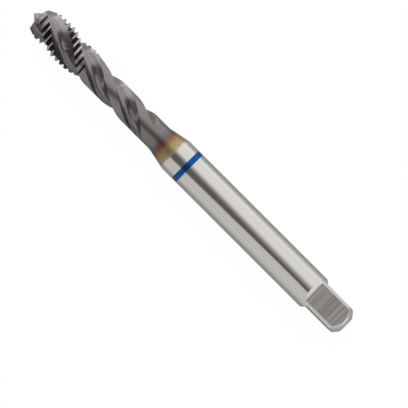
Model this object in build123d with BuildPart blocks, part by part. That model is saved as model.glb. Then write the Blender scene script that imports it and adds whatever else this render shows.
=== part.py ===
import os
from math import acos, atan, atan2, ceil, cos, degrees, pi, radians, sin, tan

from build123d import *

# A spiral-flute machine tap, M8 x 1.25, ground from one bar. All sizes in millimetres.
# It lies on its side: +X runs from the cutting end to the driving square, and Z = 0 is
# the ground under the shank. Stations along the axis count from the front face.

# Main lengths along the axis
overall_length = 90.0  # front face to the end of the square
full_thread_end = 7.5  # behind it the outside tapers down and the thread fades
thread_end = 14.3  # the last of the thread
neck_start = 16.8
flute_end = 33.0  # where the flutes have run out
neck_end = 35.4  # end of the parallel neck
shank_start = 40.1  # where the cone reaches the shank
square_length = 9.65  # the longer pair of flats of the driving square

# Diameters
thread_dia = 8.0
neck_dia = 6.06
shank_dia = 8.0
thread_end_dia = 6.85  # the outside where the thread has faded
front_dia = 5.7  # the end of the cutting lead
core_dia = 3.5  # what the flutes leave in the middle

# Male centre and front face
centre_dia = 2.5
centre_angle = 90.0
face_rise = 0.35  # how far the front face falls back from the centre to its rim

# Thread: 60 degree form, right-hand, with a tapered lead of two or three turns
thread_pitch = 1.25
thread_angle = 60.0
crest_flat = thread_pitch / 8
thread_depth = 0.613 * thread_pitch
lead_half_angle = 20.0
thread_phase = 0.42  # station of a crest on the +Y side

# Flutes: right-hand helix, open round-bottomed channels with a hooked cutting face
flute_count = 3
flute_lead = 29.7
flute_opening = 83.0  # angle between the two edges of a flute at the thread's outside
flute_hook = 10.0  # rake of the cutting face
flute_floor_radius = 1.55
flute_phase = 9.73  # station where a flute faces +Y
flute_runout = 3.6  # axial length over which the floor rises to the neck
runout_sections = 5

# Driving square and the end of the shank
square_across_flats = 6.2
square_turn = 4.0  # how far the square is turned about the axis
square_ramp_angle = 45.0
square_stagger = 1.1  # the second pair of flats starts this much further back
end_dia = 3.6
end_length = 2.1  # the domed chamfer round the end of the square
end_dome = 0.17  # how far it bulges

neck_blend_radius = 6.0  # at both ends of the neck

overrun = 1.0  # how far the cutters pass the surface that they cut
groove_lip = 0.06  # how far the flanks of the thread groove go on outside the thread
groove_arc = 90.0  # angle that one cut of the thread groove covers, wider than a land

# Derived sizes
thread_radius = thread_dia / 2
neck_radius = neck_dia / 2
shank_radius = shank_dia / 2
core_radius = core_dia / 2
root_radius = thread_radius - thread_depth
centre_length = (centre_dia / 2) / tan(radians(centre_angle / 2))
face_x = -face_rise / 2
front_x = (centre_length - face_x - overall_length) / 2  # the whole tap is centred on X = 0


def outwards(turn):
    """The direction straight out from the axis, at an angle from +Y towards +Z."""
    return Vector(0, cos(radians(turn)), sin(radians(turn)))


def across(station, turn):
    """The plane square to the axis at a station, with its X outwards at an angle."""
    return Plane(origin=(front_x + station, 0, shank_radius), x_dir=outwards(turn), z_dir=(1, 0, 0))


def lengthwise(turn):
    """The plane that holds the axis, with X along it and Y outwards at an angle."""
    along = Vector(1, 0, 0)
    return Plane(origin=(front_x, 0, shank_radius), x_dir=along, z_dir=along.cross(outwards(turn)))


spin_axis = Axis((front_x, 0, shank_radius), (1, 0, 0))


def blank_points():
    """Corners of the turned blank, from the tip of the male centre to the end chamfer."""
    lead_x = face_x + face_rise
    full_x = lead_x + (thread_dia - front_dia) / 2 / tan(radians(lead_half_angle))
    return [
        (face_x - centre_length, 0),
        (face_x, centre_dia / 2),
        (lead_x, front_dia / 2),
        (full_x, thread_radius),
        (full_thread_end, thread_radius),
        (thread_end, thread_end_dia / 2),
        (neck_start, neck_radius),
        (neck_end, neck_radius),
        (shank_start, shank_radius),
        (overall_length - end_length, shank_radius),
    ]


def end_points():
    """Start, middle and end of the domed chamfer."""
    start = Vector(overall_length - end_length, shank_radius)
    end = Vector(overall_length, end_dia / 2)
    bulge = (end - start).cross(Vector(0, 0, -1)).normalized() * end_dome
    return start, (start + end) / 2 + bulge, end


def flute_points(lift=0):
    """One flute's section: the ends of its cutting face, floor arc and heel, and its outside.

    X points out through the middle of the flute. The floor arc touches the core circle,
    and the cutting face and the heel are straight and tangent to the arc.
    """
    edge_angle = radians(flute_opening / 2)
    face_edge = Vector(thread_radius * cos(edge_angle), thread_radius * sin(edge_angle))
    heel_edge = Vector(face_edge.X, -face_edge.Y)
    face_angle = edge_angle - radians(flute_hook)
    face_way = Vector(cos(face_angle), sin(face_angle))
    into_land = Vector(-face_way.Y, face_way.X)
    floor_distance = core_radius + flute_floor_radius
    lean = acos((face_edge.dot(into_land) - flute_floor_radius) / floor_distance)
    floor_angle = atan2(into_land.Y, into_land.X) - lean
    centre_way = Vector(cos(floor_angle), sin(floor_angle))
    centre = centre_way * floor_distance
    face_foot = centre + into_land * flute_floor_radius
    to_centre = centre - heel_edge
    tangent_length = (to_centre.length**2 - flute_floor_radius**2) ** 0.5
    heel_angle = atan2(to_centre.Y, to_centre.X) + atan2(flute_floor_radius, tangent_length)
    heel_way = Vector(cos(heel_angle), sin(heel_angle))
    heel_foot = heel_edge + heel_way * tangent_length
    points = [
        face_edge + face_way * overrun,
        face_foot,
        centre_way * core_radius,
        heel_foot,
        heel_edge - heel_way * overrun,
        Vector(thread_radius + 2 * overrun, 0),
    ]
    return [point + Vector(lift, 0) for point in points]


def flute_section(station, lift=0):
    """The flute's section at a station, moved outwards by a lift."""
    face_end, face_foot, floor_mid, heel_foot, heel_end, outside = flute_points(lift)
    with BuildSketch(across(station, 360 * (station - flute_phase) / flute_lead)) as section:
        with BuildLine():
            Line(face_end, face_foot)
            ThreePointArc(face_foot, floor_mid, heel_foot)
            Line(heel_foot, heel_end)
            ThreePointArc(heel_end, outside, face_end)
        make_face()
    return section.sketch


# The cutter for one flute: a twisted prism from ahead of the tip to the run-out
flute_first = face_x - centre_length - overrun
flute_full = flute_end - flute_runout
flute_way = Vector(flute_full - flute_first, 0, 0)
with BuildPart() as flute_cutter:
    add(
        Solid.extrude_linear_with_rotation(
            flute_section(flute_first).face(),
            (front_x + flute_first, 0, shank_radius),
            flute_way,
            360 * flute_way.X / flute_lead,
        )
    )

# The run-out: sections of the same form, each one further out, until they leave the neck
with BuildPart() as runout_cutter:
    runout = []
    for number in range(runout_sections + 1):
        rise = (1 + overrun / flute_runout) * number / runout_sections
        lift = (neck_radius - core_radius) * rise**2
        runout.append(flute_section(flute_full + flute_runout * rise, lift))
    loft(sections=runout)

# The thread groove on one land. A land is narrow, so its stretch of the helix is cut as
# an arc in a plane that leans by the lead angle of the thread.
lead_angle = degrees(atan(thread_pitch / (pi * (thread_dia - thread_depth))))


def groove_outline():
    """The thread groove in the half-plane, with straight sides above the outside."""
    slope = tan(radians(thread_angle / 2))
    foot = (thread_pitch - crest_flat) / 2 - thread_depth * slope
    mouth = (thread_pitch - crest_flat) / 2 + groove_lip * slope
    right = [(foot, root_radius), (mouth, thread_radius + groove_lip), (mouth, thread_radius + overrun)]
    left = [(-along, out) for along, out in reversed(right)]
    return right + left


# Lean the axis about +Z, through the middle of the arc, then start the arc half way back
lean = radians(lead_angle)
groove_axis = Axis((front_x, 0, shank_radius), (cos(lean), sin(lean), 0))
groove_start = Plane(
    origin=groove_axis.position,
    x_dir=groove_axis.direction,
    z_dir=groove_axis.direction.cross(Vector(0, 0, 1)).rotate(groove_axis, -groove_arc / 2),
)
with BuildPart() as groove_cutter:
    with BuildSketch(groove_start):
        with BuildLine():
            Polyline(*groove_outline(), close=True)
        make_face()
    revolve(axis=groove_axis, revolution_arc=groove_arc)


def land_grooves():
    """Places of the groove on every land: (station, angle from +Y) for each turn."""
    places = []
    for land in range(flute_count):
        land_turn = (land + 0.5) / flute_count - flute_phase / flute_lead
        offset = thread_phase + thread_pitch * (0.5 + land_turn)
        growth = 1 - thread_pitch / flute_lead
        turns = ceil(thread_end / thread_pitch)
        # A few spare turns at both ends; only those within the thread are kept
        for turn in range(-flute_count, turns + flute_count):
            station = (offset + thread_pitch * turn) / growth
            if -thread_pitch < station < thread_end + thread_pitch:
                places.append((station, 360 * (land_turn + station / flute_lead)))
    return places


def flat_outline(start):
    """Side view of what is ground away over one flat: the flat and the ramp at its start."""
    top = shank_radius + overrun
    ramp = (top - square_across_flats / 2) / tan(radians(square_ramp_angle))
    back = overall_length + overrun
    flat = square_across_flats / 2
    return [(start - ramp, top), (start, flat), (back, flat), (back, top)]


with BuildPart() as tap:
    # The turned blank
    with BuildSketch(lengthwise(90)) as blank:
        with BuildLine():
            side = Polyline(*blank_points())
            dome = ThreePointArc(*end_points())
            Polyline(dome @ 1, (overall_length, 0), side @ 0)
        make_face()
        neck_corners = blank.vertices().filter_by(lambda corner: abs(corner.Y - neck_radius) < 1e-6)
        fillet(neck_corners, radius=neck_blend_radius)
    revolve(axis=spin_axis)
    # The driving square: two pairs of flats
    for side in range(4):
        start = overall_length - square_length + square_stagger * (side % 2)
        flat_plane = lengthwise(90 * (side + 1) - square_turn)
        with BuildSketch(flat_plane):
            with BuildLine():
                Polyline(*flat_outline(start), close=True)
            make_face()
        extrude(amount=shank_radius, both=True, mode=Mode.SUBTRACT)
    # The flutes
    for number in range(flute_count):
        turn = 360 / flute_count * number
        add(flute_cutter.part.rotate(spin_axis, turn), mode=Mode.SUBTRACT)
        add(runout_cutter.part.rotate(spin_axis, turn), mode=Mode.SUBTRACT)
    # The thread
    for station, angle in land_grooves():
        groove = groove_cutter.part.rotate(spin_axis, angle - 90).translate((station, 0, 0))
        add(groove, mode=Mode.SUBTRACT)

tap.part.label = "tap"
os.makedirs("parts", exist_ok=True)
export_step(tap.part, "parts/tap.step")
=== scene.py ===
# %% [markdown]
# # A spiral-flute machine tap
#
# A tap cuts a thread inside a drilled hole. This one is ground from a single bar of
# high-speed steel. Its front end carries the thread, split by three spiral flutes that
# lead the chips out. A slim neck joins it to a round shank, which ends in a driving
# square.
#
# The CAD model brings the whole shape, with its thread and flutes, at its real size. So
# nothing is modelled here. What is left to do is the finish of each ground surface, then
# the board that the tap lies on, the light and the camera.

# %% Load the CAD model
import math

import bmesh
import bpy
from mathutils import Matrix, Vector


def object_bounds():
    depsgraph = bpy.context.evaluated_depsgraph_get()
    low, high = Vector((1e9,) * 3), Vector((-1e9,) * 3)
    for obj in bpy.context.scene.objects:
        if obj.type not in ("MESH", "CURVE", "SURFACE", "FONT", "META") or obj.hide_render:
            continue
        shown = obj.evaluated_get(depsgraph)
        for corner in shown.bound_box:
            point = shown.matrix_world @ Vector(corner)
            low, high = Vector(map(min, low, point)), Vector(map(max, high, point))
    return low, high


MM = 0.001  # Blender works in metres

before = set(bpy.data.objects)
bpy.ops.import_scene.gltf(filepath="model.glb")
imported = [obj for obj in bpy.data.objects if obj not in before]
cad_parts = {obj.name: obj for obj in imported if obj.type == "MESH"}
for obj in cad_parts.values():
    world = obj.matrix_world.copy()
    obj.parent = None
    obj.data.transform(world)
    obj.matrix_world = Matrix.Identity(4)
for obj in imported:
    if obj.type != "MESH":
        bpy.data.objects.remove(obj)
cad_low, cad_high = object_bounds()
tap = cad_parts["tap"]
print("the tap's box in mm:", [round((high - low) / MM, 2) for low, high in zip(cad_low, cad_high)])

# %% [markdown]
# ## Stations along the tap
#
# On a turned and ground tool, nearly every finish starts and ends at a place along the
# axis. A maker's drawing gives such places as stations, in millimetres from the front
# face, and so does this script. The male centre is a point that stands ahead of the front
# face, so the front of the box isn't station zero.

# %% Find the front face and the axis
CENTRE_LENGTH = 1.425  # from the tip of the male centre to the front face, in mm
FRONT_X = cad_low[0] + CENTRE_LENGTH * MM
AXIS_Z = 0.5 * (cad_low[2] + cad_high[2])
print("front face at x =", round(FRONT_X / MM, 3), "mm, axis at z =", round(AXIS_Z / MM, 3), "mm")

# %% [markdown]
# ## Three helpers for materials
#
# A material in Blender is a tree of nodes, and a tree is easiest to read as a list of
# steps. The first helper turns a hex colour, as a colour picker shows it, into the linear
# numbers that the shaders work with. The second adds any node in one line and gives back
# its output, ready to be put into the next one. The third makes a mask, which says where a
# finish lies: 1 on it, 0 off it, and a soft step between.

# %% Turn a hex colour into linear numbers
def linear(hex_colour):
    """Linear red, green, blue and alpha from an sRGB hex colour."""
    channels = [int(hex_colour[start : start + 2], 16) / 255 for start in (1, 3, 5)]
    straight = [c / 12.92 if c <= 0.04045 else ((c + 0.055) / 1.055) ** 2.4 for c in channels]
    return (*straight, 1.0)


print("a mid grey in linear numbers:", [round(channel, 3) for channel in linear("#808080")])


# %% Add a node
def add(tree, kind, *values, output=None, **named):
    """Add a node and give back the named output, or the first one that the node shows.

    The kind is Blender's name for the node without its ShaderNode. The values go to the
    inputs that the node shows, in their order. A name with a small first letter is one of
    the node's settings, and one with a capital is one of its inputs. A value is a number, a
    colour, a vector, or the output of another node, which is linked.
    """
    node = tree.nodes.new("ShaderNode" + kind)
    for name, setting in named.items():
        if name[0].islower():
            setattr(node, name, setting)
    shown = [socket for socket in node.inputs if socket.enabled]
    filled = list(zip(shown, values))
    for name, value in named.items():
        if name[0].isupper():
            filled.append((node.inputs[name.replace("_", " ")], value))
    for socket, value in filled:
        if isinstance(value, bpy.types.NodeSocket):
            tree.links.new(value, socket)
        else:
            socket.default_value = value
    if output:
        return node.outputs[output]
    return next((socket for socket in node.outputs if socket.enabled), None)


# %% Make a mask from soft edges
def where(tree, *edges):
    """A mask that is 1 inside all its edges.

    An edge is a value, how large it is where the mask is still 0, and how large it is where
    the mask has reached 1. Pairs of numbers below, such as FLUTE_END, are the last two.
    """
    mask = 1.0
    for value, outside, inside in edges:
        edge = add(tree, "MapRange", value, outside, inside, interpolation_type="SMOOTHSTEP")
        mask = add(tree, "Math", mask, edge, operation="MULTIPLY")
    return mask


# %% [markdown]
# ## Ground high-speed steel
#
# The bar is hardened high-speed steel, ground all over. Such steel is a bright metal that
# mirrors what stands round it, a little blurred by the fine scratches of the wheel. A
# metal's colour and roughness say nearly all of that, so the shader is a Principled BSDF
# with its metallic near 1 and its IOR left alone.
#
# Each finish could have a material and faces of its own. But the coat, the heat tints and
# the ring lie on one smooth surface, with soft or ragged edges that don't follow any face.
# So there is one material, and each finish is laid over the last by a mask. The masks are
# worked out from where a point lies on the tap: its station and its distance from the axis.

# %% Start the steel and find each point on it
steel = bpy.data.materials.new("ground_high_speed_steel")
steel.use_nodes = True
tree = steel.node_tree
tree.nodes.clear()

place = add(tree, "TexCoord", output="Object")
x, y, z = add(tree, "SeparateXYZ", place).node.outputs
behind_front = add(tree, "Math", x, FRONT_X, operation="SUBTRACT")
station = add(tree, "Math", behind_front, MM, operation="DIVIDE")
above_axis = add(tree, "Math", z, AXIS_Z, operation="SUBTRACT")
from_axis = add(tree, "CombineXYZ", 0.0, y, above_axis)
radius = add(tree, "Math", add(tree, "VectorMath", from_axis, operation="LENGTH"), MM, operation="DIVIDE")
print("nodes that find a point:", len(tree.nodes))

# %% [markdown]
# ## Which way the surface faces
#
# The wall of a flute and the crest of the thread can lie at the same station and at the
# same distance from the axis. What tells them apart is the way they face: a crest faces
# straight out, and a wall faces round the axis. The walls could be picked by hand, face by
# face. It is quicker, and holds when the model changes, to ask the Texture Coordinate node
# which way a point faces. A dot product then says how much of that points round the axis.

# %% Find which way each point faces
facing = add(tree, "TexCoord", output="Normal")
outwards = add(tree, "VectorMath", from_axis, operation="NORMALIZE")
round_axis = add(tree, "VectorMath", (1.0, 0.0, 0.0), outwards, operation="CROSS_PRODUCT")
facing_round = add(tree, "VectorMath", facing, round_axis, operation="DOT_PRODUCT")
facing_aside = add(tree, "Math", facing_round, operation="ABSOLUTE")
facing_end = add(tree, "Math", add(tree, "SeparateXYZ", facing), operation="ABSOLUTE")
print("nodes so far:", len(tree.nodes))

# %% [markdown]
# ## Dark coat and heat tints
#
# The cutting end has a thin dark coat, baked on. It is hard, and chips don't stick to it.
# The heat also grew a film of oxide on the bare steel beside it, and the film gets thinner
# away from the heat. Its thickness is what gives the colour, from violet through red and
# gold to straw.
#
# The bands could be painted on an image. A colour ramp over the stations needs only one
# list of colours, and a coarse noise added to the station makes the bands wander round
# the cone, as heat does.

# %% Lay the coat and the tints
TINTS = [  # station in mm, and the colour there
    (16.0, "#918d8d"),
    (29.0, "#918b8a"),
    (33.0, "#888381"),
    (34.9, "#888381"),
    (35.4, "#7e7977"),
    (35.9, "#777177"),
    (36.4, "#765c63"),
    (36.8, "#825e58"),
    (37.3, "#956d46"),
    (37.8, "#a68758"),
    (38.4, "#aa9471"),
    (39.2, "#ae9d80"),
    (39.6, "#c0ae8c"),
]
WANDER_SIZE = 2.38  # how far apart the bulges of a band are, in mm
WANDER = 0.9  # how far the bands swing, in mm

bulges = add(tree, "TexNoise", place, Scale=1 / (WANDER_SIZE * MM), Detail=3.0)
swing = add(tree, "Math", bulges, 0.5, operation="SUBTRACT")
swing = add(tree, "Math", swing, WANDER, operation="MULTIPLY")
tint_station = add(tree, "Math", station, swing, operation="ADD")

first, last = TINTS[0][0], TINTS[-1][0]
past_first = add(tree, "Math", tint_station, first, operation="SUBTRACT")
colour = add(tree, "ValToRGB", add(tree, "Math", past_first, last - first, operation="DIVIDE"))
bands = colour.node.color_ramp.elements
while len(bands) < len(TINTS):
    bands.new(0.5)
for band, (tint_start, tint) in zip(bands, TINTS):
    band.position = (tint_start - first) / (last - first)
    band.color = linear(tint)
print("colours in the ramp:", len(bands), "over", round(last - first, 1), "mm")

# %% [markdown]
# ## Where the bare steel starts
#
# The film ends at a ragged line round the cone, and behind it the steel is bare and
# bright. A plain edge on the station would look printed. So a finer noise is added to the
# station first, with grains a little under a millimetre wide, and the edge comes out torn.

# %% Bare the steel behind the tints
BARE_STEEL = "#dbd9d5"
BARE_START = 39.62
BARE_EDGE = 0.06
GRAIN_SIZE = 5 / 7  # in mm
TEAR = 1.4  # how far the edge is torn, in mm

grains = add(tree, "TexNoise", place, Scale=1 / (GRAIN_SIZE * MM), Detail=3.0)
torn = add(tree, "Math", grains, 0.5, operation="SUBTRACT")
torn_station = add(tree, "Math", torn, TEAR, station, operation="MULTIPLY_ADD")
bare = where(tree, (torn_station, BARE_START - BARE_EDGE, BARE_START + BARE_EDGE))
tinted = add(tree, "Math", 1.0, bare, operation="SUBTRACT")
colour = add(tree, "Mix", bare, colour, linear(BARE_STEEL), data_type="RGBA")
print("bare steel from station", BARE_START, "mm")

# %% [markdown]
# ## Blue ring
#
# The ring round the shank is a band of blue lacquer, flush to the touch, which tells what
# the tap is meant to cut. It could be a thin sleeve of its own. But it has no thickness
# that shows, and a sleeve would stand off the steel, so it is two edges on the station.

# %% Lay the ring
RING_BLUE = "#00529a"
RING_START = 42.88
RING_END = 44.15
RING_EDGE = 0.03

ring = where(
    tree,
    (station, RING_START - RING_EDGE, RING_START + RING_EDGE),
    (station, RING_END + RING_EDGE, RING_END - RING_EDGE),
)
colour = add(tree, "Mix", ring, colour, linear(RING_BLUE), data_type="RGBA")
print("ring width in mm:", round(RING_END - RING_START, 2))

# %% [markdown]
# ## Flutes
#
# The three flutes are ground into the bar by a wheel with a round edge. Each has a cutting
# face, a floor and a heel. A point is in a flute when it faces well round the axis, or
# when it lies deeper than the neck. The sides of the thread face along the tap and not
# round it, so they stay out of the mask. What the flutes leave standing are the lands.

# %% Find the flutes
FLUTE_WALL = (0.22, 0.34)  # how much of a wall's facing points round the axis
CUTTING_FACE = (-0.62, -0.78)  # the same for the wall that meets the work as the tap turns
FLUTE_FLOOR = (3.0, 2.95)  # radius in mm
FLUTE_END = (33.6, 33.4)  # station in mm

walls = where(tree, (facing_aside, *FLUTE_WALL))
floors = where(tree, (radius, *FLUTE_FLOOR))
flute = add(tree, "Math", walls, floors, operation="MAXIMUM")
flute = add(tree, "Math", flute, where(tree, (station, *FLUTE_END)), operation="MULTIPLY")
land = add(tree, "Math", 1.0, flute, operation="SUBTRACT")
cutting_face = add(tree, "Math", where(tree, (facing_round, *CUTTING_FACE)), flute, operation="MULTIPLY")
print("the flutes end at station", FLUTE_END[0], "mm")

# %% [markdown]
# ## How deep in the thread
#
# Between the flutes, the lands carry the thread. To paint shade into its groove and lighten its crests,
# the material has to know how deep in the thread a point lies. An ambient occlusion
# node could find the hollows, but it is slow and would find the flutes too.
#
# The thread's outside isn't a plain cylinder. It rises along the tapered lead at the
# front, and falls again behind the full thread, where the thread fades away. So the radius
# half way down the thread is worked out for each station, and the depth counts from there.

# %% Measure the depth in the thread
LEAD = (1.0, 3.5)  # stations where the tapered lead starts and ends
LEAD_MIDDLE = 3.3  # radius half way down the thread where the lead starts, in mm
LEAD_RISE = 0.32  # how much larger that radius is where the lead ends
FULL_END = 7.5  # behind this station the thread fades
FULL_MIDDLE = 3.62  # radius half way down the full thread
FADE_SLOPE = -0.043  # change of that radius for each mm of fading thread

on_lead = where(tree, (station, *LEAD))
lead_middle = add(tree, "Math", on_lead, LEAD_RISE, LEAD_MIDDLE, operation="MULTIPLY_ADD")
past_full = add(tree, "Math", station, FULL_END, operation="SUBTRACT")
past_full = add(tree, "Math", past_full, 0.0, operation="MAXIMUM")
fading_middle = add(tree, "Math", past_full, FADE_SLOPE, FULL_MIDDLE, operation="MULTIPLY_ADD")
middle = add(tree, "Math", lead_middle, fading_middle, operation="MINIMUM")
depth = add(tree, "Math", middle, radius, operation="SUBTRACT")
print("the lead's length in mm:", LEAD[1] - LEAD[0])

# %% [markdown]
# ## Thread groove and crests
#
# The groove is deep and narrow, and little light gets in, so a painted shade makes it
# the darkest place on the tap. The crests are painted lighter than the coat round them.
# Both are masks on the depth.

# %% Paint shade into the groove and lighten the crests
THREAD_START = (0.92, 1.0)  # station in mm
THREAD_END = (14.4, 14.2)
GROOVE = (-0.12, 0.12)  # depth in mm
CREST = (-0.10, -0.25)
# the colour of the painted shade in the thread groove
GROOVE_PAINTED_SHADE = "#332828"
CREST_LIGHT = "#d2cfce"
CREST_SHARE = 0.7  # how far the crests are lightened towards that

threaded = where(tree, (station, *THREAD_START), (station, *THREAD_END))
threaded = add(tree, "Math", threaded, land, operation="MULTIPLY")
painted_groove_shade = add(tree, "Math", where(tree, (depth, *GROOVE)), threaded, operation="MULTIPLY")
crest = add(tree, "Math", where(tree, (depth, *CREST)), threaded, operation="MULTIPLY")
crest_lightening = add(tree, "Math", crest, CREST_SHARE, operation="MULTIPLY")
colour = add(tree, "Mix", crest_lightening, colour, linear(CREST_LIGHT), data_type="RGBA")
# painted shade laid into the thread groove
colour = add(tree, "Mix", painted_groove_shade, colour, linear(GROOVE_PAINTED_SHADE), data_type="RGBA")
print("nodes so far:", len(tree.nodes))

# %% [markdown]
# ## Grinding lines in the flutes
#
# The wheel went down the bar while the bar turned, so its lines run along the flute, in a
# spiral. Noise that is stretched along the bar makes lines, but straight ones. So each
# point is first turned back about the axis by as much as the flute has turned at its
# station, which unwinds the spiral. Real lines are some hundredths of a millimetre apart.
# These are as coarse as they need to be to show.
#
# The lines are a small bump, which breaks up what the steel mirrors, and painted shade
# darkens their valleys. The cutting face is darkened with painted shade as well.

# %% Rule lines along the flutes
FLUTE_LEAD = 29.7  # the flutes make one turn in this length, in mm
LINE_SPACING = 0.4  # in mm
LINE_SQUEEZE = 0.02  # how much the noise is squeezed along a line, which stretches it
LINE_HEIGHT = 0.02  # in mm
VALLEY = (0.5, 0.38)  # height of the noise
VALLEY_SHADE_SHARE = 0.45  # how dark the painted shade in a valley is
FACE_SHADE_SHARE = 0.3  # how much painted shade darkens the cutting face
# the colour of the painted shade on the cutting face and in the line valleys
FLUTE_PAINTED_SHADE = "#3a3331"

back_turn = add(tree, "Math", station, -2 * math.pi / FLUTE_LEAD, operation="MULTIPLY")
unwound = add(tree, "VectorRotate", place, (0.0, 0.0, AXIS_Z), back_turn, rotation_type="X_AXIS")
stretched = add(tree, "VectorMath", unwound, (LINE_SQUEEZE, 1.0, 1.0), operation="MULTIPLY")
lines = add(tree, "TexNoise", stretched, Scale=1 / (LINE_SPACING * MM), Detail=3.0)
ridges = add(tree, "Bump", Strength=flute, Distance=LINE_HEIGHT * MM, Height=lines)

# painted shade on the cutting face
cutting_face_painted_shade = add(tree, "Math", cutting_face, FACE_SHADE_SHARE, operation="MULTIPLY")
colour = add(tree, "Mix", cutting_face_painted_shade, colour, linear(FLUTE_PAINTED_SHADE), data_type="RGBA")
# painted shade in the valleys of the lines
painted_valley_shade = add(tree, "Math", where(tree, (lines, *VALLEY)), flute, operation="MULTIPLY")
painted_valley_shade = add(tree, "Math", painted_valley_shade, VALLEY_SHADE_SHARE, operation="MULTIPLY")
colour = add(tree, "Mix", painted_valley_shade, colour, linear(FLUTE_PAINTED_SHADE), data_type="RGBA")
print("one turn of the lines in mm:", FLUTE_LEAD)

# %% [markdown]
# ## Driving square
#
# A wrench or a chuck drives the tap by the four flats at its back end. They were ground
# with the wheel across the axis, so their lines run across the bar, and they look duller
# than the round grinding. The domed chamfer round the end and the ramps where the flats
# start are given a brighter colour than the steel.
#
# The flats and the chamfer could be picked as faces here, because real edges bound them.
# But masks keep them in the one material, so that the corners of the square, which are
# left from the shank, keep its finish.

# %% Find the flats, the chamfer and the ramps
SQUARE_START = 80.35
SQUARE_EDGE = 0.02
BELOW_SHANK = (3.99, 3.96)  # the radius of a flat in mm, just under the shank's
RAMP_START = (SQUARE_START - 0.9, SQUARE_START - 0.8)
FLAT_FACING = (0.2, 0.1)  # how much of each one's facing points along the axis
CHAMFER_FACING = (0.3, 0.4)
RAMP_FACING = (0.05, 0.15)

behind = (station, SQUARE_START - SQUARE_EDGE, SQUARE_START + SQUARE_EDGE)
ahead = (station, SQUARE_START + SQUARE_EDGE, SQUARE_START - SQUARE_EDGE)
flat = where(tree, (radius, *BELOW_SHANK), (facing_end, *FLAT_FACING), behind)
chamfer = where(tree, (facing_end, *CHAMFER_FACING), behind)
flat_ramp = where(tree, (station, *RAMP_START), ahead, (facing_end, *RAMP_FACING))
print("the square starts at station", SQUARE_START, "mm")

# %% [markdown]
# ## Lines across the square
#
# These are noise again, stretched across the bar this time, and again coarser than the
# real ones, which wouldn't show. Many octaves make some of them fine and some broad, as a
# worn wheel leaves them. The chamfer takes less than half of their strength.

# %% Finish the square
WHEEL_SPACING = 5 / 11  # in mm
WHEEL_LINE = (0.62, 0.38)  # height of the noise
WHEEL_SHARE = 0.7  # how dark a line is
CHAMFER_LINES = 0.4  # share of that on the chamfer
FLAT_SHARE = 0.35  # how far the flats are dulled towards their grey
FLAT_GREY = "#b5aeab"
WHEEL_DARK = "#948e8c"
CHAMFER_BRIGHT = "#f4f1ec"
RAMP_BRIGHT = "#f4f2ee"

across = add(tree, "VectorMath", place, (1.0, LINE_SQUEEZE, LINE_SQUEEZE), operation="MULTIPLY")
wheel_lines = add(tree, "TexNoise", across, Scale=1 / (WHEEL_SPACING * MM), Detail=5.0, Roughness=0.75)
lined = add(tree, "Math", chamfer, CHAMFER_LINES, flat, operation="MULTIPLY_ADD")
lined = add(tree, "Math", where(tree, (wheel_lines, *WHEEL_LINE)), lined, operation="MULTIPLY")
lined = add(tree, "Math", lined, WHEEL_SHARE, operation="MULTIPLY")
greyed = add(tree, "Math", flat, FLAT_SHARE, operation="MULTIPLY")
colour = add(tree, "Mix", greyed, colour, linear(FLAT_GREY), data_type="RGBA")
colour = add(tree, "Mix", chamfer, colour, linear(CHAMFER_BRIGHT), data_type="RGBA")
colour = add(tree, "Mix", lined, colour, linear(WHEEL_DARK), data_type="RGBA")
colour = add(tree, "Mix", flat_ramp, colour, linear(RAMP_BRIGHT), data_type="RGBA")
print("nodes so far:", len(tree.nodes))

# %% [markdown]
# ## Male centre
#
# The point at the front end is the male centre, on which the bar was held while it was
# ground. It stayed almost free of the coat, so it is a pale grey. Nearly all that lies
# ahead of station zero belongs to it, so one edge is enough.

# %% Bare the male centre
CENTRE_GREY = "#a3a69d"
CENTRE_EDGE = 0.02  # in mm

centre = where(tree, (station, CENTRE_EDGE, -CENTRE_EDGE))
coat_side = add(tree, "Math", 1.0, centre, operation="SUBTRACT")
colour = add(tree, "Mix", centre, colour, linear(CENTRE_GREY), data_type="RGBA")
print("the male centre's length in mm:", CENTRE_LENGTH)

# %% [markdown]
# ## How sharply the steel mirrors
#
# What the eye takes for polish is how sharply the metal mirrors the tent. Ground steel has
# a roughness of about 0.1 to 0.3. The round-ground shank is at the sharp end of that, with
# faint rings where the wheel went round it. The coat and the tints are at the satin end,
# and the flutes, which chips have to slide along, are polished nearly as fine as the shank.

# %% Set the roughness
BARE_ROUGHNESS = 0.13
SATIN = 0.17  # added on the coat and the tints
POLISH = -0.12  # taken off again in the flutes
RING_MARKS = 0.16  # how far the faint rings change it

rough = add(tree, "Math", tinted, SATIN, BARE_ROUGHNESS, operation="MULTIPLY_ADD")
rough = add(tree, "Math", flute, POLISH, rough, operation="MULTIPLY_ADD")
marks = add(tree, "Math", wheel_lines, 0.5, operation="SUBTRACT")
marks = add(tree, "Math", marks, bare, operation="MULTIPLY")
rough = add(tree, "Math", marks, RING_MARKS, rough, operation="MULTIPLY_ADD")
print("roughness from", round(BARE_ROUGHNESS, 2), "to", round(BARE_ROUGHNESS + SATIN, 2))

# %% [markdown]
# ## How metallic each finish is
#
# The coat, the oxide and above all the lacquer are thin films over the steel, and not bare
# metal. The lacquer could be a clear coat over blue steel. But a film scatters some light
# whatever stands round it, which keeps its colour visible where the steel mirrors
# something dark, and a metallic that falls a little gives just that.

# %% Set the metallic and finish the steel
LACQUER_LOSS = -0.4
COAT_LOSS = -0.1
OXIDE_LOSS = -0.3
COAT_FADE = (39.0, 35.4)  # stations over which the coat thins out
OXIDE_START = (36.4, 37.6)

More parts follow.
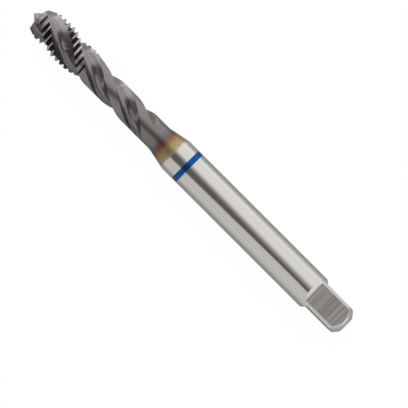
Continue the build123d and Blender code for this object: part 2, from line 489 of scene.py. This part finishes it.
coated = add(tree, "Math", where(tree, (tint_station, *COAT_FADE)), coat_side, operation="MULTIPLY")
oxide = add(tree, "Math", where(tree, (tint_station, *OXIDE_START)), tinted, operation="MULTIPLY")
metallic = add(tree, "Math", ring, LACQUER_LOSS, 1.0, operation="MULTIPLY_ADD")
metallic = add(tree, "Math", coated, COAT_LOSS, metallic, operation="MULTIPLY_ADD")
metallic = add(tree, "Math", oxide, OXIDE_LOSS, metallic, operation="MULTIPLY_ADD")

shader = add(tree, "BsdfPrincipled", Base_Color=colour, Metallic=metallic, Roughness=rough, Normal=ridges)
add(tree, "OutputMaterial", Surface=shader)
print("nodes in the steel:", len(tree.nodes))

# %% [markdown]
# ## Put the steel on the tap
#
# The CAD model comes as loose flat triangles, which would show as facets in the bright
# shank. A weld joins their corners, and smooth shading rounds the light over them. But the
# tap also has real edges, and these have to stay crisp. They could be marked one by one.
# An edge split finds them all: wherever two faces meet at more than 25 degrees, it breaks
# the light.

# %% Dress the tap
EDGE_ANGLE = math.radians(25)
WELD_GAP = 0.001 * MM

tap.data.materials.clear()
tap.data.materials.append(steel)
weld = tap.modifiers.new("weld", "WELD")
weld.merge_threshold = WELD_GAP
split = tap.modifiers.new("sharp_edges", "EDGE_SPLIT")
split.split_angle = EDGE_ANGLE
for face in tap.data.polygons:
    face.use_smooth = True
print("faces on the tap:", len(tap.data.polygons))

# %% [markdown]
# ## White board
#
# The tap lies on a board of matt white card. It is only the stage and no part of the tap.
# One flat face is enough for it.

# %% Lay the board
BOARD_SIZE = 3.0
BOARD_TOP = cad_low[2] - 0.2 * MM  # just under the tap, so that no two faces share a plane

bm = bmesh.new()
lowered = Matrix.Translation((0, 0, BOARD_TOP))
bmesh.ops.create_grid(bm, x_segments=1, y_segments=1, size=BOARD_SIZE / 2, matrix=lowered)
board_mesh = bpy.data.meshes.new("floor")
bm.to_mesh(board_mesh)
bm.free()
board = bpy.data.objects.new("floor", board_mesh)
bpy.context.scene.collection.objects.link(board)
print("board's top at z =", round(BOARD_TOP / MM, 2), "mm")

# %% [markdown]
# ## What the steel sees of the board
#
# Seen from above, the steel mirrors the board along both of its sides. Close to the tap the
# board is shaded, and mirrors grey. Further out it is bright. A plain diffuse board mirrors
# too dark for a tent as bright as this, so glossy rays see a share of a glow as well, and
# the share grows with the distance from the tap. It is larger on the tap's upper right
# side, which faces the brighter half of the tent, and round the cutting end, which is
# slimmer and shades less of the board.

# %% Work out the board's shine
AWAY = (0.008, 0.038)  # distance from the tap's axis in metres, out of its shade
HALF_LENGTH = 0.044  # past this X, the distance counts from the tap's ends
UPPER_SIDE = (-0.01, 0.01)  # Y in metres
CUTTING_END = (0.0, -0.03)  # X in metres
NEAR_SHINE = 0.03
AWAY_SHINE = 0.3
AWAY_SHINE_UPPER = 0.3  # this much more on the upper side
END_SHINE = 0.15
END_SHINE_UPPER = 0.35

card = bpy.data.materials.new("white_board")
card.use_nodes = True
tree = card.node_tree
tree.nodes.clear()

board_x, board_y, _ = add(tree, "SeparateXYZ", add(tree, "TexCoord", output="Object")).node.outputs
beside = add(tree, "Math", board_y, operation="ABSOLUTE")
beyond = add(tree, "Math", board_x, operation="ABSOLUTE")
beyond = add(tree, "Math", beyond, HALF_LENGTH, operation="SUBTRACT")
away = where(tree, (add(tree, "Math", beside, beyond, operation="MAXIMUM"), *AWAY))
upper_side = where(tree, (board_y, *UPPER_SIDE))
cutting_end = where(tree, (board_x, *CUTTING_END))
away_shine = add(tree, "Math", upper_side, AWAY_SHINE_UPPER, AWAY_SHINE, operation="MULTIPLY_ADD")
shine = add(tree, "Math", away, away_shine, NEAR_SHINE, operation="MULTIPLY_ADD")
end_shine = add(tree, "Math", upper_side, END_SHINE_UPPER, END_SHINE, operation="MULTIPLY_ADD")
shine = add(tree, "Math", cutting_end, end_shine, shine, operation="MULTIPLY_ADD")
print("nodes that place the shine:", len(tree.nodes))

# %% [markdown]
# ## A board that renders white
#
# Matt card scatters light evenly, so it starts as a Diffuse BSDF. Lit at a plain level it
# would render a pale grey. More light would make it white, and burn out the steel. So the
# camera is shown mostly a glow instead, which the Light Path node switches on for camera
# rays. The tenth that still scatters keeps the tap's faint shadow. Glossy rays see the share
# of the glow that was worked out above.

# %% Finish the board
BOARD_GREY = "#cdcdcd"
BOARD_GLOW = 1.07
CAMERA_SHARE = 0.9

camera_ray = add(tree, "LightPath", output="Is Camera Ray")
glossy_ray = add(tree, "LightPath", output="Is Glossy Ray")
glowing = add(tree, "Math", camera_ray, CAMERA_SHARE, operation="MULTIPLY")
glowing = add(tree, "Math", glossy_ray, shine, glowing, operation="MULTIPLY_ADD")
matt = add(tree, "BsdfDiffuse", linear(BOARD_GREY))
glow = add(tree, "Emission", Strength=BOARD_GLOW)
add(tree, "OutputMaterial", Surface=add(tree, "MixShader", glowing, matt, glow))
board_mesh.materials.append(card)
print("nodes in the board:", len(tree.nodes))

# %% [markdown]
# ## Cloth of the light tent
#
# Bright steel looks like whatever stands round it. Lamps would show in it as hard spots,
# so such tools are lit inside a tent of white cloth. The tent could be a mesh with glowing
# faces. As a world it costs nothing to render, and a mask can put light or dark in any
# direction.
#
# A direction is given as the camera sees it from above: how far it leans to the right side,
# how far it rises towards the top, and its height over the board. The cloth's upper half is
# brighter than its lower one, and brightest at the top left, where the lamp stands behind
# it. Low down at the top it also catches light from the board, most of all on the left.

# %% Hang the cloth
TURN = math.radians(45.0)  # how far the camera is turned about the vertical
TOP_LIGHT = 0.93
BOTTOM_LIGHT = 0.68
LAMP_LIGHT = 0.45  # this much more in front of the lamp
HORIZON_LIGHT = 0.15  # and low down at the top
CORNER_LIGHT = 0.6  # and on the left of that

tent = bpy.data.worlds.new("light_tent")
bpy.context.scene.world = tent
tent.use_nodes = True
tree = tent.node_tree
tree.nodes.clear()

direction = add(tree, "TexCoord", output="Generated")
turned = add(tree, "VectorRotate", direction, Angle=-TURN, rotation_type="Z_AXIS")
side, rise, height = add(tree, "SeparateXYZ", turned).node.outputs
upper = where(tree, (rise, -0.05, 0.35))
cloth = add(tree, "Math", upper, TOP_LIGHT - BOTTOM_LIGHT, BOTTOM_LIGHT, operation="MULTIPLY_ADD")
top_left = add(tree, "Math", rise, side, operation="SUBTRACT")
lamp = where(tree, (top_left, 0.25, 0.85), (rise, 0.35, 0.75))
cloth = add(tree, "Math", lamp, LAMP_LIGHT, cloth, operation="MULTIPLY_ADD")
horizon = where(tree, (height, 0.25, 0.05), (rise, 0.0, 0.3))
cloth = add(tree, "Math", horizon, HORIZON_LIGHT, cloth, operation="MULTIPLY_ADD")
corner = add(tree, "Math", horizon, where(tree, (side, 0.5, 0.2)), operation="MULTIPLY")
cloth = add(tree, "Math", corner, CORNER_LIGHT, cloth, operation="MULTIPLY_ADD")
print("nodes in the cloth:", len(tree.nodes))

# %% [markdown]
# ## Openings of the tent
#
# Steel in a tent that is white all round looks like grey paint. What makes it look like
# steel is the dark that it mirrors beside the white: the opening overhead that the camera
# looks through, the camera's stand below it, the open left side, and the way out on the
# right. Each is a patch with soft edges. The opening's lower edge is its sharpest, and
# draws the crisp edge of the dark stripe along the shank.

# %% Cut the opening and set up the stand
overhead = where(
    tree,
    (side, -0.62, -0.48),  # left edge
    (side, 0.39, -0.19),  # right edge
    (rise, 0.55, 0.28),  # upper edge
    (rise, -0.30, -0.23),  # lower edge
)
stand = where(
    tree,
    (side, -0.31, -0.22),  # left edge
    (side, 0.25, 0.0),  # right edge
    (rise, 0.0, -0.2),  # upper edge, inside the opening
    (rise, -1.0, -0.35),  # lower edge, which is very soft
)
opening = add(tree, "Math", overhead, stand, operation="MAXIMUM")
print("nodes in the tent so far:", len(tree.nodes))

# %% Open the left side and the way out
SILL = -0.15  # the rise of the left side's sill
SILL_CORNER = -0.7  # left of this the sill slopes down
SILL_SLOPE = 1.1
LEFT_SHARE = 0.8  # how dark each one is, beside the opening overhead
WAY_OUT_SHARE = 0.9

past_corner = add(tree, "Math", side, SILL_CORNER, operation="SUBTRACT")
past_corner = add(tree, "Math", past_corner, 0.0, operation="MINIMUM")
sill = add(tree, "Math", past_corner, SILL_SLOPE, SILL, operation="MULTIPLY_ADD")
above_sill = add(tree, "Math", rise, sill, operation="SUBTRACT")
open_left = where(
    tree,
    (side, -0.35, -0.55),  # right edge
    (rise, 0.50, 0.25),  # upper edge
    (above_sill, -0.08, 0.08),  # lower edge
)
way_out = where(
    tree,
    (side, 0.55, 0.85),  # left edge
    (rise, 0.35, 0.15),  # upper edge
    (rise, -0.60, -0.45),  # lower edge
)
open_left = add(tree, "Math", open_left, LEFT_SHARE, operation="MULTIPLY")
way_out = add(tree, "Math", way_out, WAY_OUT_SHARE, operation="MULTIPLY")
opening = add(tree, "Math", opening, open_left, operation="MAXIMUM")
opening = add(tree, "Math", opening, way_out, operation="MAXIMUM")
print("nodes in the tent so far:", len(tree.nodes))

# %% [markdown]
# ## Light in the tent
#
# An opening keeps off most of the light, and the little that comes through it from the
# room is a bit warm. Only the steel and the board see the tent. Past the edge of the board
# the camera has to see plain white, so for camera rays the world is white with a strength
# of 1.

# %% Close the tent
OPENING_DARK = 0.82  # how much of the light an opening keeps off
ROOM_LIGHT = (1.0, 0.95, 0.93, 1.0)
WHITE = (1.0, 1.0, 1.0, 1.0)

let_in = add(tree, "Math", opening, -OPENING_DARK, 1.0, operation="MULTIPLY_ADD")
light = add(tree, "Math", cloth, let_in, operation="MULTIPLY")
warmth = add(tree, "Mix", opening, WHITE, ROOM_LIGHT, data_type="RGBA")
inside = add(tree, "Background", warmth, light)
backdrop = add(tree, "Background", WHITE, 1.0)
camera_ray = add(tree, "LightPath", output="Is Camera Ray")
add(tree, "OutputWorld", Surface=add(tree, "MixShader", camera_ray, inside, backdrop))
print("nodes in the tent:", len(tree.nodes))

# %% [markdown]
# ## Camera
#
# The camera looks straight down through the opening, turned so that the tap runs from the
# upper left to the lower right. A catalogue shows a bar with parallel sides, which takes a
# long lens from far away. An orthographic camera would do nearly the same, but a real lens
# keeps a trace of perspective. The distance follows from the scale of the render, in pixels
# to the millimetre, and the aim follows from one point on the tap's axis.

# %% Hang the camera
PIXELS = 408
PIXELS_PER_MM = 4.824
LENS = 300.0
SENSOR = 36.0
AXIS_PIXEL = (196.6, 175.77)  # where one point of the axis falls in the render
AXIS_STATION = 223 / PIXELS_PER_MM  # and that point's station

camera = bpy.data.objects.new("camera", bpy.data.cameras.new("camera"))
bpy.context.scene.collection.objects.link(camera)
bpy.context.scene.camera = camera
camera.data.lens = LENS
camera.data.sensor_width = SENSOR
distance = PIXELS / PIXELS_PER_MM * MM * LENS / SENSOR
aside, down = [(PIXELS / 2 - pixel) / PIXELS_PER_MM * MM for pixel in AXIS_PIXEL]
right = Vector((math.cos(TURN), math.sin(TURN), 0))
up = Vector((-math.sin(TURN), math.cos(TURN), 0))
aim = Vector((FRONT_X + AXIS_STATION * MM, 0, AXIS_Z)) + right * aside - up * down
camera.matrix_world = Matrix.Translation(aim + Vector((0, 0, distance))) @ Matrix.Rotation(TURN, 4, "Z")
camera.data.clip_start = distance / 10
camera.data.clip_end = distance * 10
bpy.context.scene.view_settings.view_transform = "Standard"
print("camera distance in m:", round(distance, 3))
